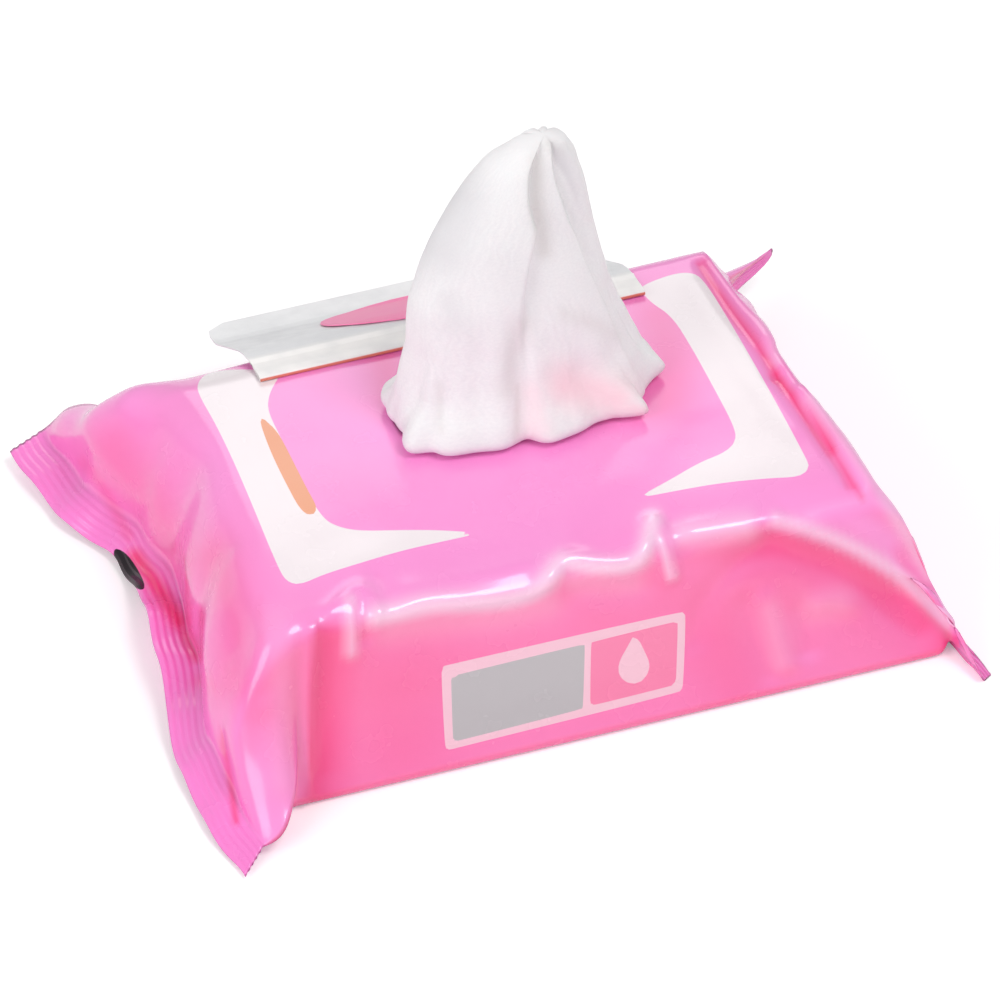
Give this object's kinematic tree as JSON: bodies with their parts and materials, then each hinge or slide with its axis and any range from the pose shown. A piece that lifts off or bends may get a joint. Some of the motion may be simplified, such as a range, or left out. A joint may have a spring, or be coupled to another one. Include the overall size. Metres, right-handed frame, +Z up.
{
  "type": "wet wipes pack",
  "caption": "Soft film pillow pack of wet wipes with crimped ends, an oval mouth, a folded-back reseal label and one wipe pulled up.",
  "frame": {"origin": "on the surface the pack lies on, under the middle of the flat base", "axes": "+X along the pack's length, +Y across it towards the hinge of the reseal label, +Z up out of the mouth"},
  "size_m": [0.2017, 0.1645, 0.128],
  "materials": {
    "film": "thin glossy pink packaging film with soft creases",
    "label": "white film label, tacky side up, faintly grey",
    "patch": "underside of the pink film, less glossy",
    "wipe": "damp white nonwoven with a small embossed pattern"
  },
  "bodies": {
    "root": {"pack_film": "film", "reseal_label": "label", "die_cut_patch": "patch", "dispensed_wipe": "wipe", "folded_wipe_01": "wipe", "folded_wipe_02": "wipe", "folded_wipe_03": "wipe", "folded_wipe_04": "wipe", "folded_wipe_05": "wipe", "folded_wipe_06": "wipe", "folded_wipe_07": "wipe", "folded_wipe_08": "wipe", "folded_wipe_09": "wipe", "folded_wipe_10": "wipe", "folded_wipe_11": "wipe", "folded_wipe_12": "wipe", "folded_wipe_13": "wipe", "folded_wipe_14": "wipe", "folded_wipe_15": "wipe", "folded_wipe_16": "wipe", "folded_wipe_17": "wipe", "folded_wipe_18": "wipe", "folded_wipe_19": "wipe", "folded_wipe_20": "wipe", "folded_wipe_21": "wipe", "folded_wipe_22": "wipe", "folded_wipe_23": "wipe", "folded_wipe_24": "wipe", "folded_wipe_25": "wipe", "folded_wipe_26": "wipe", "folded_wipe_27": "wipe", "folded_wipe_28": "wipe", "folded_wipe_29": "wipe"}
  },
  "joints": []
}
